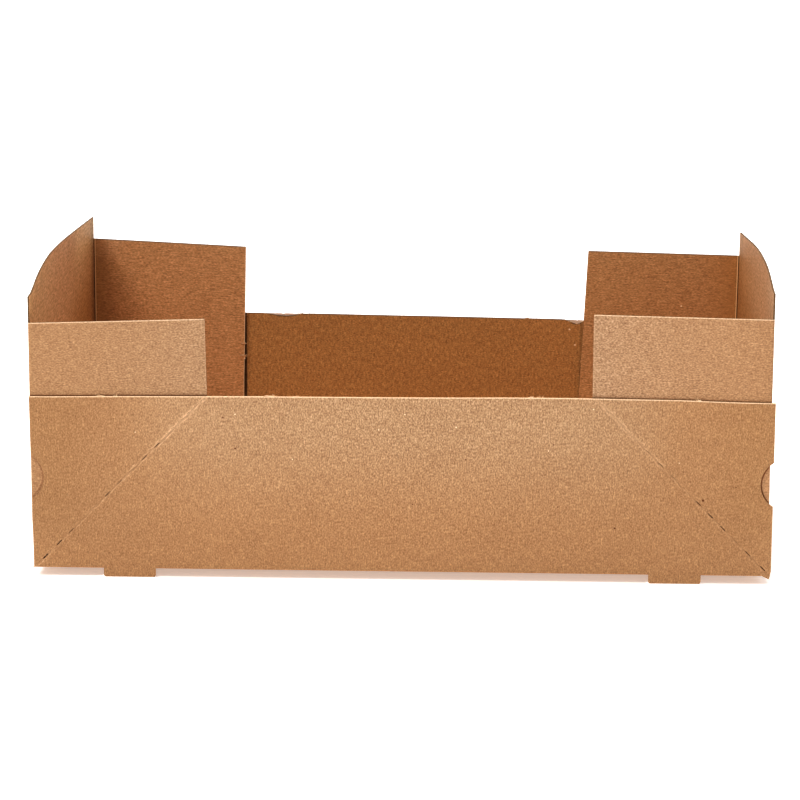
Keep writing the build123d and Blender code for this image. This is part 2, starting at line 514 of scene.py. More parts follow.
def outer_tone(place, side, panel):
    """The tone of the outside, with its painted sheen and drifts of painted light and shade."""
    wear_and_sheen = math.exp(-((place.x - PAINTED_SHEEN_PLACE) / PAINTED_SHEEN_WIDTH) ** 2)
    wear_and_sheen *= smooth(place.z, PAINTED_SHEEN_FOOT, PAINTED_SHEEN_TOP)
    if panel == "wing":
        least, more = OUTER_WING_GRAIN
        return (*((OUTER_TONE + PAINTED_WING_SHEEN * wear_and_sheen) * OUTER_WING_TONES[side]), least + more * wear_and_sheen)
    between_creases = math.exp(-(place.x / SHEEN_WIDTH) ** 10)
    between_creases *= smooth(place.z, SHEEN_FOOT, SHEEN_TOP)
    tone = drifted(OUTER_TONE + PAINTED_SHEEN * between_creases, place, OUTER_DRIFTS)
    if panel == "long_wall":
        tone = drifted(tone, place, LONG_WALL_DRIFTS[side])
    least, more = OUTER_GRAIN
    return (*tone, least + more * wear_and_sheen)


def tone_of(place, panel, skin, middle):
    """The board's tone at a place of a face with that middle, with painted light and shade, and how strong
    its grain is there.
    """
    side = "left" if place.x < 0 else "right"
    if skin == CUT:
        return cut_tone(place, panel)
    if skin == INSIDE and panel == "long_wall":
        return back_wall_tone(place, side, middle)
    if skin == INSIDE and panel == "wing":
        return inner_wing_tone(place, side)
    if skin == INSIDE and panel == "end_wall":
        return inner_end_tone(place, side)
    return outer_tone(place, side, panel)


# How the board stands


def along_line(points, place):
    """The height of a line of points at a place, straight between one point and the next."""
    for (start, low), (end, high) in zip(points, points[1:]):
        if place <= end:
            return low + (high - low) * clamp((place - start) / (end - start))
    return points[-1][1]


def drawn_arch(place):
    """How high the drawing's true arch stands above its shoulders."""
    radius = (ARCH_HALF_WIDTH ** 2 + ARCH_RISE ** 2) / (2 * ARCH_RISE)
    inside = min(abs(place), ARCH_HALF_WIDTH)
    return math.sqrt(radius ** 2 - inside ** 2) - (radius - ARCH_RISE)


def dip(place):
    """How far the back wall's top edge is pressed down at a place along it."""
    return sum(
        depth * math.cos(math.pi / 2 * clamp((place - middle) / half, -1, 1)) ** 2
        for middle, half, depth in BACK_WALL_DIPS
    )


def pinched(place, side):
    """Closes a long wall's crease slits to how they stand on this tray."""
    sign = math.copysign(1, place.x)
    off = ((HALF_LENGTH - abs(place.x)) - (place.z - FOOT_HEIGHT)) / math.sqrt(2)
    up = ((HALF_LENGTH - abs(place.x)) + (place.z - FOOT_HEIGHT)) / math.sqrt(2)
    number = round((up - FIRST_SLIT) / SLIT_PITCH)
    if abs(off) > SLIT_EDGE or not 0 <= number < len(SLITS_OPEN[side]) or up < SLITS_START:
        return place
    from_middle = up - FIRST_SLIT - number * SLIT_PITCH
    closing = off * (SLITS_OPEN[side][number] - 1)
    along = SLIT_SHIFT[side][number > 0] - SLIT_SHORTENED * from_middle
    return place + Vector((sign * -(closing + along), 0, along - closing)) / math.sqrt(2)


def settled_wall(place, side):
    """Where a place of the drawing's front or back wall lies on this tray."""
    height = place.z - FOOT_HEIGHT
    moved = pinched(place, side)
    if place.z > WALL_TOP + SLACK:
        moved.x += NICK_SHIFT[side] if place.y < 0 else 0
    groove = HALF_DEPTH - abs(place.y)
    if groove < GROOVE_ZONE:
        moved.y = math.copysign(HALF_DEPTH - GROOVE_LEFT * groove, place.y)
    if place.y > 0:
        moved.y -= BACK_WALL_LEAN * height
        moved.z += along_line(BACK_WALL_TOP, place.x) * height / WALL_HEIGHT
        moved.z -= dip(place.x) * smooth(height, WALL_HEIGHT - DIP_REACH, WALL_HEIGHT)
    else:
        moved.z += along_line(FRONT_WALL_TOP, place.x) * clamp(height / WALL_HEIGHT)
        at_end = smooth(-place.x, END_SHIFT_START, HALF_LENGTH)
        moved.x += END_SHIFT * at_end * clamp(1 - height / WALL_HEIGHT)
        across = clamp((place.x - CRUMPLE_START) / (HALF_LENGTH - CRUMPLE_START))
        down = clamp((CRUMPLE_TOP - place.z) / (CRUMPLE_TOP - FOOT_HEIGHT))
        moved.x += CRUMPLE_SHIFT[0] * across * down
        moved.z += CRUMPLE_SHIFT[1] * across * down
    return moved


def squared(place):
    """Sharpens the rounded top corner of a wing's free end."""
    inner_end = END_FACE - WING_LENGTH + WING_CORNER
    centre = Vector((math.copysign(inner_end, place.x), 0, WING_TOP - WING_CORNER))
    along, up = (abs(centre.x) - abs(place.x)), place.z - centre.z
    if along <= 0 or up <= 0:
        return place
    share = min(1 + CORNER_SQUARED * along * up, 1 / max(along, up, HAIR))
    return Vector((
        math.copysign(abs(centre.x) - along * share, place.x), place.y, centre.z + up * share,
    ))


def on_foot_tab(place):
    """Whether a place is on one of the foot tabs, or on the fold right above it."""
    from_middle = abs(abs(place.x) - (HALF_LENGTH - FOOT_START - FOOT_LENGTH / 2))
    height = place.z - FOOT_HEIGHT
    return height < FOLD_RADIUS + SLACK and from_middle < FOOT_LENGTH / 2 + SLACK


def settled(place):
    """Where a place of the drawing's true tray lies on this one, which is a little out of square."""
    height = place.z - FOOT_HEIGHT
    towards_back = clamp((place.y + HALF_DEPTH) / (2 * HALF_DEPTH))
    side = "left" if place.x < 0 else "right"
    sign = -1 if place.x < 0 else 1
    place = place.copy()
    moved = place.copy()
    if on_foot_tab(place) and place.y < -LAYER_PLACE:
        moved.x += FOOT_SHIFT[side]
        return moved
    if height <= 0 and place.x < CRUMPLE_START:
        return moved
    if abs(place.y) > LAYER_PLACE or abs(place.x) > END_FACE + HAIR:
        return settled_wall(place, side)
    if abs(place.y) > WING_FACE - FOLD_RADIUS:
        moved = squared(place)
    if abs(place.x) > END_FACE - 2 * BOARD:
        across = clamp(1 - (place.y / WING_FACE) ** 2)
        moved.x += sign * END_WALL_BOW[side] * across * (height / READ_HEIGHT) ** 2
        in_corner = abs(place.y) > WING_FACE - CORNER_ZONE
        share = smooth(place.z, WING_TOP if in_corner else WALL_TOP, SHOULDER_TOP)
        moved.z += share * (along_line(ARCHES[side], place.y) - drawn_arch(place.y))
    near, far = CORNERS[side, "front"], CORNERS[side, "back"]
    lift, lean, spread = (
        near[what] + (far[what] - near[what]) * towards_back for what in ("lift", "lean", "spread")
    )
    moved.x += sign * (lean * height + spread * smooth(height, 0, SPREAD_HEIGHT))
    moved.z += lift * height / READ_HEIGHT
    if abs(place.y) > WING_FACE - FOLD_RADIUS:
        wing = near if place.y < 0 else far
        from_corner = END_FACE - abs(place.x)
        along = clamp(from_corner / WING_LENGTH)
        moved.x += sign * wing["slant"] * along * along * (height - SLANT_HEIGHT) / WING_HEIGHT
        moved.x -= sign * wing["reach"] * along
        moved.z += wing["droop"] * from_corner * height / WING_HEIGHT
        moved.y -= math.copysign(wing["curl"] * along * along * height / WING_HEIGHT, place.y)
    return moved


# The tray


def cut_through(board, place, direction):
    """Adds a line of edges where a plane crosses the board."""
    everything = board.verts[:] + board.edges[:] + board.faces[:]
    bmesh.ops.bisect_plane(
        board, geom=everything, dist=0.0002 * MM, plane_co=Vector(place) * MM, plane_no=direction,
    )


def evenly(half_width, count):
    """Places from one side to the other, count steps apart, ends left out."""
    return [half_width * (2 * step / count - 1) for step in range(1, count)]


def cut_finer(board):
    """Cuts the board's panels into strips, so that they can bend and their tone can change."""
    for x in evenly(HALF_LENGTH, STRIPS_ALONG):
        cut_through(board, (x, 0, 0), (1, 0, 0))
    for y in evenly(HALF_DEPTH, STRIPS_DEEP):
        cut_through(board, (0, y, 0), (0, 1, 0))
    for step in range(1, LEVELS + 1):
        cut_through(board, (0, 0, FOOT_HEIGHT + step * WALL_HEIGHT / WALL_LEVELS), (0, 0, 1))
    for middle, half, _ in BACK_WALL_DIPS:
        for share in DIP_CUTS:
            cut_through(board, (middle + share * half, 0, 0), (1, 0, 0))
    for start, end, _ in WING_END_SHADOWS:
        cut_through(board, (start, 0, 0), (1, 0, 0))
        cut_through(board, (end, 0, 0), (1, 0, 0))
    cut_through(board, (0, 0, WALL_TOP - TORN_RIM), (0, 0, 1))
    cut_through(board, (CRUMPLE_START, 0, 0), (1, 0, 0))
    cut_through(board, (0, 0, CRUMPLE_TOP), (0, 0, 1))


def mark_skins(board):
    """Gives each face its finish, and each of its corners what that finish reads there."""
    on_blank = board.loops.layers.float_vector.new("on_blank")
    edges_near = board.loops.layers.float_vector.new("edges_near")
    crease_near = board.loops.layers.float_vector.new("crease_near")
    tone_and_painted_light = board.loops.layers.float_color.new("tone_and_painted_light")
    for face in board.faces:
        face.material_index = skin = skin_of(face)
        panel = panel_of(face)
        centre = face.calc_center_median() / MM
        in_bead = skin_direction(centre) is None
        for corner in face.loops:
            place = corner.vert.co / MM
            tone = Vector(tone_of(place, panel, skin, centre))
            # A bead gets a painted highlight on top of its tone.
            if in_bead:
                tone = tone * BEAD_HIGHLIGHTS["left" if centre.x < 0 else "right"]
            corner[on_blank] = place_on_blank(place, face)
            corner[edges_near] = near_edges(place, panel, skin)
            corner[crease_near] = near_crease(place, panel, skin)
            corner[tone_and_painted_light] = tone


def settle(board):
    """Moves the board to how this tray stands, and keeps where each place was in the drawing."""
    in_drawing = board.verts.layers.float_vector.new("in_drawing")
    for vert in board.verts:
        vert[in_drawing] = vert.co / MM
        vert.co = settled(vert.co / MM) * MM


def tray_board():
    """The tray of this picture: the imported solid's own board, eased out of square and split in skins."""
    board = bmesh.new()
    board.from_mesh(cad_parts["tray_box"].data)
    bmesh.ops.remove_doubles(board, verts=board.verts, dist=0.001 * MM)
    cut_finer(board)
    board.normal_update()
    mark_skins(board)
    settle(board)
    board.normal_update()
    for face in board.faces:
        face.smooth = True
    for edge in board.edges:
        edge.smooth = edge.calc_face_angle(math.pi) < SHARP_BEND
    return board


def piece_from(board, name, finishes):
    """Makes an object of a board, in its place, with its finishes in order."""
    mesh = bpy.data.meshes.new(name)
    board.to_mesh(mesh)
    board.free()
    for finish in finishes:
        mesh.materials.append(finish)
    piece = bpy.data.objects.new(name, mesh)
    bpy.context.scene.collection.objects.link(piece)
    return piece


# Loose fibres and torn edges


def loose_fibre(fibres, root, direction, length, width):
    """One thin fibre that tapers to its tip, with its root a little below the board's surface."""
    turn = Vector(direction).normalized().to_track_quat("Z", "Y").to_matrix().to_4x4()
    middle = Vector(root) + Vector(direction).normalized() * length * 0.45
    bmesh.ops.create_cone(
        fibres, segments=4, radius1=width / 2 * MM, radius2=width / 7 * MM, depth=length * MM,
        matrix=Matrix.Translation(middle * MM) @ turn, cap_ends=True,
    )


def tuft(fibres, chance, foot, size):
    """A tuft of fibres on a cut edge, each about as long as its size in millimetres."""
    top = settled(foot)
    inwards = -math.copysign(1, foot.y)
    for _ in range(TUFT_FIBRES):
        across, deep = chance.uniform(-0.8, 0.8), inwards * chance.uniform(0.1, 0.3)
        direction = (
            chance.uniform(-1.6, 1.6), inwards * chance.uniform(0, 0.4), chance.uniform(0.1, 0.9),
        )
        length, width = size * chance.uniform(0.5, 1.2), chance.uniform(0.16, 0.26)
        loose_fibre(fibres, top + Vector((across, deep, -0.1)), direction, length, width)


def lone_fibre(fibres, chance):
    """A short fibre anywhere along the front wall's top edge."""
    x, from_face = chance.uniform(-128, 128), chance.uniform(0.25, 0.5)
    root = settled(Vector((x, -HALF_DEPTH + from_face, WALL_TOP - 0.05)))
    direction = (chance.uniform(-1, 1), chance.uniform(0, 0.2), chance.uniform(0.1, 0.7))
    loose_fibre(fibres, root, direction, chance.uniform(0.2, 0.55), 0.08)


def edge_fibres():
    """Fibres that stand out of the nicks, the wings' ends and the cut edges."""
    chance = random.Random(7)
    fibres = bmesh.new()
    for x in FRONT_TUFTS:
        tuft(fibres, chance, Vector((x, -HALF_DEPTH + BOARD / 2, WALL_TOP)), TUFT_SIZES["front"])
    for x in BACK_TUFTS:
        tuft(fibres, chance, Vector((x, HALF_DEPTH - BOARD / 2, WALL_TOP)), TUFT_SIZES["back"])
    for x, z in WING_TUFTS:
        tuft(fibres, chance, Vector((x, WING_FACE - 0.5, z)), TUFT_SIZES["wing"])
    for _ in range(LONE_FIBRES):
        lone_fibre(fibres, chance)
    return fibres


def torn_lip(middle, half):
    """The strip of outer ply that stayed up, ragged, over one dip in the back wall's top."""
    strip = bmesh.new()
    bmesh.ops.create_grid(strip, x_segments=24, y_segments=3, size=1)
    for vert in strip.verts:
        x, up = middle + vert.co.x * half, 0.5 + 0.5 * vert.co.y
        edge = settled(Vector((x, HALF_DEPTH - 0.05, WALL_TOP)))
        ragged = sum(height * math.sin(pitch * x + start) for height, pitch, start in RAGGED)
        rise = dip(x) * up + clamp(dip(x)) * ragged * up
        vert.co = Vector((x, edge.y - 0.06, edge.z - 0.05 + min(rise, dip(x)))) * MM
    strip.normal_update()
    bmesh.ops.solidify(strip, geom=strip.faces[:], thickness=LIP_THICKNESS * MM)
    return strip


def torn_lips():
    """A torn lip over each dip."""
    lips = bmesh.new()
    for middle, half, _ in BACK_WALL_DIPS:
        strip = torn_lip(middle, half)
        mesh = bpy.data.meshes.new("lip")
        strip.to_mesh(mesh)
        strip.free()
        lips.from_mesh(mesh)
        bpy.data.meshes.remove(mesh)
    return lips


# Finishes

KRAFT = (0.54, 0.325, 0.175)
PALE_PULP = (0.95, 0.75, 0.52)
GREY_PULP = (1.0, 0.84, 0.72)
# Pale rims, partly rubbed bare fibres and partly painted highlight where edges catch the light
RUBBED_AND_LIT = (1.0, 0.78, 0.55)
# Painted shade along the top edges inside the tray
SHADED_RIM = (0.30, 0.23, 0.18)
BLEACHED_SPECK = (0.86, 0.66, 0.45)
BARK_FLECK = (0.16, 0.05, 0.01)
PULP_FLECK = (1.0, 0.84, 0.62)
# Painted shadow on the wings along the front wall's top and notch, and painted light in the right notch
SHADOW_LINE = (0.22, 0.07, 0.008)
NOTCH_LIGHT = (1.12, 1.13, 1.16)
# A painted highlight on the creases' ridges, and the pale band beside them
RIDGE_HIGHLIGHT = (0.95, 0.66, 0.42)
BAND_PALE = (0.95, 0.68, 0.46)

# Fibres laid in the surface, as angle, width, length, shift of their pattern, and share of places
STRAW = ((8, 0.11, 2.2, 3.0, 0.10), (-34, 0.09, 1.5, 17.0, 0.06), (52, 0.10, 1.7, 41.0, 0.05))
BARK = ((-12, 0.12, 1.8, 67.0, 0.02), (71, 0.10, 1.2, 83.0, 0.0))

# The formation of the pulp, from clouds through patches to fine mottle and long streaks: how large
# each is, and how far it shifts the tone, which the finish itself gives for the streaks
CLOUD_SIZE = 26.0
CLOUD_SHIFT = 0.15
PATCH_SIZE = 5.0
PATCH_SHIFT = 0.10
MOTTLE_SIZE = 0.46
MOTTLE_SHIFT = 0.72
STREAK_WIDTH = 0.5
STREAK_LENGTH = 1.9

# How strongly the marks of the board show in its colour, and the painted highlight on the creases' ridges
STRAW_SHOWS = 0.28
BARK_SHOWS = 0.35
DARK_SPECKS_SHOW = 0.5
PALE_SPECKS_SHOW = 0.75
RIDGE_HIGHLIGHT_SHOWS = 0.55

# How rough the board is where its tone is deep and where it is pale
ROUGHNESS = (0.68, 0.56)

# How far outwards and upwards the shadow line on a wing lies off the edge of the notch before it
NOTCH_LINE = {"left": (-0.44, 1.08), "right": (0.66, -0.4)}

# How far off a crease's middle its two ridges stand, and how far the crease strays from its line
RIDGE_PLACE = 0.58
CREASE_STRAY = 0.36

# The depth of the board's relief in its finish, and the shares of it that the mottle, the patches,
# the long streaks, the straw and the creases' ridges take
RELIEF = 0.045
RELIEF_SHARES = (0.6, 0.25, 0.5, 0.25, 0.6)


def shade(colour, share):
    """A darker or paler shade of a kraft colour, which also grows greyer as it pales."""
    return tuple(c * share ** (1 + 0.35 * step) for step, c in enumerate(colour))


DEEP_KRAFT = shade(KRAFT, 0.45)
PALE_KRAFT = shade(KRAFT, 1.55)


def solid(colour, light=1.0):
    """A colour with its light multiplied, as a node takes it."""
    return (*(value * light for value in colour), 1)


def node(tree, kind, inputs=None, **settings):
    """Adds a node to a finish, with its settings, and fills or links its inputs."""
    made = tree.nodes.new(kind)
    for name, value in settings.items():
        setattr(made, name, value)
    for name, value in (inputs or {}).items():
        if isinstance(value, bpy.types.NodeSocket):
            tree.links.new(value, made.inputs[name])
        else:
            made.inputs[name].default_value = value
    return made


def new_finish(name):
    """A new material with its node tree and its shader."""
    material = bpy.data.materials.new(name)
    material.use_nodes = True
    return material, material.node_tree, material.node_tree.nodes["Principled BSDF"]


def maths(tree, operation, first, second=0.0):
    """One sum of two values."""
    return node(tree, "ShaderNodeMath", {0: first, 1: second}, operation=operation).outputs[0]


def combined(tree, operation, first, *others):
    """A sum of several values, taken from left to right."""
    for other in others:
        first = maths(tree, operation, first, other)
    return first


def product(tree, *values):
    """Several values multiplied."""
    return combined(tree, "MULTIPLY", *values)


def total(tree, *values):
    """Several values added up."""
    return combined(tree, "ADD", *values)


def highest(tree, *values):
    """The highest of several values."""
    return combined(tree, "MAXIMUM", *values)


def away_from(tree, value, middle):
    """How far a value is from a middle, on either side."""
    return maths(tree, "ABSOLUTE", maths(tree, "SUBTRACT", value, middle))


def noise(tree, where, size, detail=2.0, roughness=0.5):
    """Cloudy noise whose patches are about size millimetres across, from 0 to 1."""
    made = node(tree, "ShaderNodeTexNoise", {
        "Vector": where, "Scale": 1.0 / size, "Detail": detail, "Roughness": roughness,
    })
    return made.outputs["Fac"]


def ranged(tree, value, low, high, out_low=0.0, out_high=1.0, smoothly=False):
    """Maps a value from one range to another, and stops at its ends."""
    made = node(tree, "ShaderNodeMapRange", {
        "Value": value, "From Min": low, "From Max": high, "To Min": out_low, "To Max": out_high,
    }, interpolation_type="SMOOTHSTEP" if smoothly else "LINEAR")
    return made.outputs[0]


def by_side(tree, across, left, right):
    """One value on the left half of the tray, and another on the right."""
    return ranged(tree, across, -1, 1, left, right)


def mixed(tree, share, first, second, blend="MIX"):
    """Mixes two colours."""
    inputs = {0: share, 6: first, 7: second}
    return node(tree, "ShaderNodeMix", inputs, data_type="RGBA", blend_type=blend).outputs[2]


def turned(tree, where, angle, across, along, shift=0.0):
    """A pattern's coordinates turned by an angle and squeezed, so that its marks come out long."""
    return node(tree, "ShaderNodeMapping", {
        "Vector": where,
        "Location": (shift, shift * 0.7, 0),
        "Rotation": (0, 0, math.radians(angle)),
        "Scale": (1 / across, 1 / along, 1),
    }).outputs[0]


def attribute(tree, name):
    """What the board's corners or places say under a name."""
    return node(tree, "ShaderNodeAttribute", attribute_name=name)


def parts_of(tree, vector):
    """The three values of a vector."""
    return node(tree, "ShaderNodeSeparateXYZ", {"Vector": vector}).outputs


def length_of(tree, vector):
    """The length of a vector."""
    return node(tree, "ShaderNodeVectorMath", {0: vector}, operation="LENGTH").outputs["Value"]


def strokes(tree, where, angle, width, length, shift, share):
    """Thin broken strokes of one rough direction, as fibres lying in the surface."""
    waves = node(tree, "ShaderNodeTexNoise", {
        "Vector": turned(tree, where, angle, width * 6, length * 2, shift),
        "Scale": 1.0, "Detail": 1.0, "Roughness": 0.4, "Distortion": 0.4,
    }).outputs["Fac"]
    thin = ranged(tree, away_from(tree, waves, 0.5), 0.0, 0.028, 1.0, 0.0, smoothly=True)
    gaps = noise(tree, turned(tree, where, angle, 1, 2, shift + 31), length * 0.6, detail=0.0)
    return product(tree, thin, ranged(tree, gaps, 0.62 - share, 0.72 - share))


def laid_fibres(tree, where, kinds):
    """All the strokes of some kinds together."""
    return highest(tree, *(strokes(tree, where, *kind) for kind in kinds))


def specks(tree, where, spacing, size, keep):
    """Round flecks of about size millimetres, one for a share keep of the places on a loose grid."""
    cells = node(tree, "ShaderNodeTexVoronoi", {"Vector": where, "Scale": 1 / spacing})
    chosen = node(tree, "ShaderNodeSeparateColor", {"Color": cells.outputs["Color"]})
    dot = ranged(tree, cells.outputs["Distance"], size / spacing * 0.3, size / spacing * 0.7, 1, 0)
    there = maths(tree, "LESS_THAN", chosen.outputs[0], keep)
    return product(tree, dot, there)


def formation(tree, where, mottle, long_mottle, patches, grain, streaks):
    """How far the pulp lies darker or paler than its own colour, from its clouds to its mottle."""
    fine = total(
        tree, ranged(tree, mottle, 0.25, 0.75, -MOTTLE_SHIFT, MOTTLE_SHIFT),
        ranged(tree, long_mottle, 0.25, 0.75, -streaks, streaks),
    )
    clouds = noise(tree, where, CLOUD_SIZE, detail=3.0, roughness=0.55)
    return total(
        tree, product(tree, fine, grain), ranged(tree, clouds, 0.0, 1.0, -CLOUD_SHIFT, CLOUD_SHIFT),
        ranged(tree, patches, 0.2, 0.8, -PATCH_SHIFT, PATCH_SHIFT),
    )


def toned(tree, tone):
    """The kraft colour, made deeper or paler by a tone."""
    darker = ranged(tree, tone, -1.4, 0.0, 1.0, 0.0)
    lighter = ranged(tree, tone, 0.0, 1.4, 0.0, 1.0)
    base = mixed(tree, darker, solid(KRAFT), solid(DEEP_KRAFT))
    return mixed(tree, lighter, base, solid(PALE_KRAFT))


def with_specks(tree, base, where, straw):
    """The colour with fibres of straw and bark, and specks of bark and bleached pulp, all over."""
    bark = laid_fibres(tree, where, BARK)
    base = mixed(tree, product(tree, straw, STRAW_SHOWS), base, solid(PALE_KRAFT, 1.3))
    base = mixed(tree, product(tree, bark, BARK_SHOWS), base, solid(DEEP_KRAFT, 0.62))
    elsewhere = node(tree, "ShaderNodeMapping", {"Vector": where, "Location": (71, 13, 5)}).outputs[0]
    dark = specks(tree, where, spacing=3.4, size=0.42, keep=0.10)
    light = specks(tree, elsewhere, spacing=4.2, size=0.38, keep=0.09)
    base = mixed(tree, product(tree, dark, DARK_SPECKS_SHOW), base, solid(DEEP_KRAFT, 0.5))
    return mixed(tree, product(tree, light, PALE_SPECKS_SHOW), base, solid(BLEACHED_SPECK))


def with_rims_rubbed_lit_and_shaded(tree, base, mottle, below_rim, from_end, rim, rim_colour, end_rim):
    """The colour with uneven rims: top edges in their rim_colour, and free ends pale, partly rubbed fibres
    and partly painted highlight.
    """
    wear_and_sheen = ranged(tree, mottle, 0.25, 0.6, 0.55, 1.0)
    rim_share = product(tree, ranged(tree, below_rim, 0.22, 0.42, rim, 0), wear_and_sheen)
    base = mixed(tree, rim_share, base, solid(rim_colour))
    rim_share = product(tree, ranged(tree, from_end, 0.2, 0.36, end_rim, 0), wear_and_sheen)
    return mixed(tree, rim_share, base, solid(RUBBED_AND_LIT))


def with_flecks(tree, base, in_place, flecks, tint):
    """The colour with single flecks where this tray has them."""
    for x, y, z, radius in flecks:
        away = node(tree, "ShaderNodeVectorMath", {0: in_place, 1: (x, y, z)}, operation="DISTANCE")
        fleck = ranged(tree, away.outputs["Value"], radius * 0.6, radius, 1, 0)
        base = mixed(tree, fleck, base, solid(tint))
    return base


def from_notch(tree, across, up):
    """How far a place lies from the middle of the nearer notch's shadow line."""
    (left_out, left_up), (right_out, right_up) = NOTCH_LINE["left"], NOTCH_LINE["right"]
    drawn = HALF_LENGTH + NOTCH_RADIUS - NOTCH_DEPTH
    middle = by_side(tree, across, drawn + left_out, drawn + right_out)
    height = by_side(tree, across, NOTCH_PLACE + left_up, NOTCH_PLACE + right_up)
    offset = node(tree, "ShaderNodeCombineXYZ", {
        0: maths(tree, "SUBTRACT", maths(tree, "ABSOLUTE", across), middle),
        1: maths(tree, "SUBTRACT", up, height),
    })
    return length_of(tree, offset.outputs[0])


def with_wall_shadows(tree, base, across, up, above_wall):
    """The colour of a wing with painted shadows of the wall before it, along its top and its notch, and
    painted light in the right notch.
    """
    off_notch = from_notch(tree, across, up)
    behind_wall = ranged(tree, above_wall, -2, -1, 1, 0)
    in_notch = product(
        tree, ranged(tree, off_notch, NOTCH_RADIUS - 0.56, NOTCH_RADIUS - 0.36),
        ranged(tree, off_notch, NOTCH_RADIUS, NOTCH_RADIUS + 0.2, 1, 0),
        by_side(tree, across, 0.27, 0.85), behind_wall,
    )
    on_top = product(
        tree, ranged(tree, above_wall, 0.22, 0.45, 0.72, 0), ranged(tree, above_wall, -2, -1),
        by_side(tree, across, 0.95, 0.5),
    )
    through_notch = product(
        tree, ranged(tree, off_notch, NOTCH_RADIUS - 0.7, NOTCH_RADIUS - 0.5, 1, 0),
        behind_wall, by_side(tree, across, 0, 1),
    )
    base = mixed(tree, through_notch, base, solid(NOTCH_LIGHT), "MULTIPLY")
    return mixed(tree, highest(tree, on_top, in_notch), base, solid(SHADOW_LINE))


def crease_ridges(tree, where, across, up_crease, off_line, patches):
    """The two ridges that the rule raised beside a crease, broken, and single low down."""
    off_ridge = away_from(tree, maths(tree, "ABSOLUTE", off_line), RIDGE_PLACE)
    both_or_inner = highest(
        tree, ranged(tree, up_crease, 42, 56, 0.15, 1), ranged(tree, off_line, -0.1, 0.1),
    )
    return product(
        tree, ranged(tree, off_ridge, 0.04, 0.3, 1, 0, smoothly=True),
        ranged(tree, patches, 0.35, 0.6, 0.4, 1.0), ranged(tree, up_crease, 35, 70, 0.7, 1.0),
        ranged(tree, noise(tree, where, 1.2, 1.0), 0.4, 0.58, 0.25, 1.0),
        by_side(tree, across, 1.0, 0.55), both_or_inner,
    )


def with_crease(tree, base, up_crease, off_line, ridge, patches):
    """The colour with painted highlight on the crease's ridges, its pale band, and painted shade in the
    line where the rule cut in.
    """
    base = mixed(tree, product(tree, ridge, RIDGE_HIGHLIGHT_SHOWS), base, solid(RIDGE_HIGHLIGHT))
    off_middle = maths(tree, "ABSOLUTE", off_line)
    band = ranged(tree, off_middle, 0.4, 1.5, 0.09, 0, smoothly=True)
    band = product(tree, band, ranged(tree, up_crease, 50, 72))
    base = mixed(tree, band, base, solid(BAND_PALE))
    groove_shade = ranged(tree, off_middle, 0.08, 0.2, 0.15, 0)
    groove_shade = product(tree, groove_shade, ranged(tree, patches, 0.4, 0.55))
    return mixed(tree, groove_shade, base, solid(DEEP_KRAFT, 0.5))


def kraft(name, rim, rim_colour=RUBBED_AND_LIT, end_rim=0.13, stretch=1.6, streaks=0.25, shine=0.5):
    """Uncoated kraft board: cloudy formation, fine mottle, laid fibres, flecks of bark and bleach, and
    painted light and shade.

    rim is how strongly its top edges show their rim_colour, rubbed fibres with painted highlight or
    painted shade, end_rim how pale its free ends are, stretch how long the mottle runs along the grain,
    and streaks how strong its long streaks are.
    """
    material, tree, shader = new_finish(name)
    where = attribute(tree, "on_blank").outputs["Vector"]
    in_place = attribute(tree, "in_drawing").outputs["Vector"]
    tone_and_light = attribute(tree, "tone_and_painted_light")
    across, _, up = parts_of(tree, in_place)
    near = attribute(tree, "edges_near").outputs["Vector"]
    below_rim, from_end, above_wall = parts_of(tree, near)
    off_crease, up_crease, _ = parts_of(tree, attribute(tree, "crease_near").outputs["Vector"])

    patches = noise(tree, where, PATCH_SIZE, detail=2.0, roughness=0.6)
    along = turned(tree, where, 4, MOTTLE_SIZE, MOTTLE_SIZE * stretch)
    mottle = noise(tree, along, 1.0, detail=1.0)
    along = turned(tree, where, 3, STREAK_WIDTH, STREAK_LENGTH * stretch)
    long_mottle = noise(tree, along, 1.0, detail=1.0)
    straw = laid_fibres(tree, where, STRAW)
    tone = formation(tree, where, mottle, long_mottle, patches, tone_and_light.outputs["Alpha"], streaks)
    stray = ranged(tree, noise(tree, where, 2.2, 2.0), 0.32, 0.68, -CREASE_STRAY, CREASE_STRAY)
    off_line = total(tree, off_crease, stray)
    ridge = crease_ridges(tree, where, across, up_crease, off_line, patches)

    base = with_specks(tree, toned(tree, tone), where, straw)
    # The tone by place, with its painted light and shade, tints the board.
    base = mixed(tree, 1.0, base, tone_and_light.outputs["Color"], "MULTIPLY")
    base = with_rims_rubbed_lit_and_shaded(tree, base, mottle, below_rim, from_end, rim, rim_colour, end_rim)
    base = with_flecks(tree, base, in_place, DARK_FLECKS, BARK_FLECK)
    base = with_flecks(tree, base, in_place, PALE_FLECKS, PULP_FLECK)
    base = with_wall_shadows(tree, base, across, up, above_wall)
    base = with_crease(tree, base, up_crease, off_line, ridge, patches)
    tree.links.new(base, shader.inputs["Base Color"])

    tree.links.new(ranged(tree, tone, -0.6, 0.6, *ROUGHNESS), shader.inputs["Roughness"])
    marks = (mottle, patches, long_mottle, straw, ridge)
    height = total(tree, *(product(tree, mark, share) for mark, share in zip(marks, RELIEF_SHARES)))
    bump = node(tree, "ShaderNodeBump", {"Strength": 1.0, "Distance": RELIEF * MM, "Height": height})
    tree.links.new(bump.outputs[0], shader.inputs["Normal"])
    shader.inputs["Specular IOR Level"].default_value = shine
    return material


def bare_pulp(name, colour):
    """Torn board without its dark surface: matt, pale and fibrous."""
    material, tree, shader = new_finish(name)
    where = node(tree, "ShaderNodeTexCoord").outputs["Object"]
    fibrous = noise(tree, where, 0.5 * MM)
    tone = mixed(tree, fibrous, solid(shade(colour, 0.75)), solid(colour))
    tree.links.new(tone, shader.inputs["Base Color"])
    shader.inputs["Roughness"].default_value = 0.9
    return material


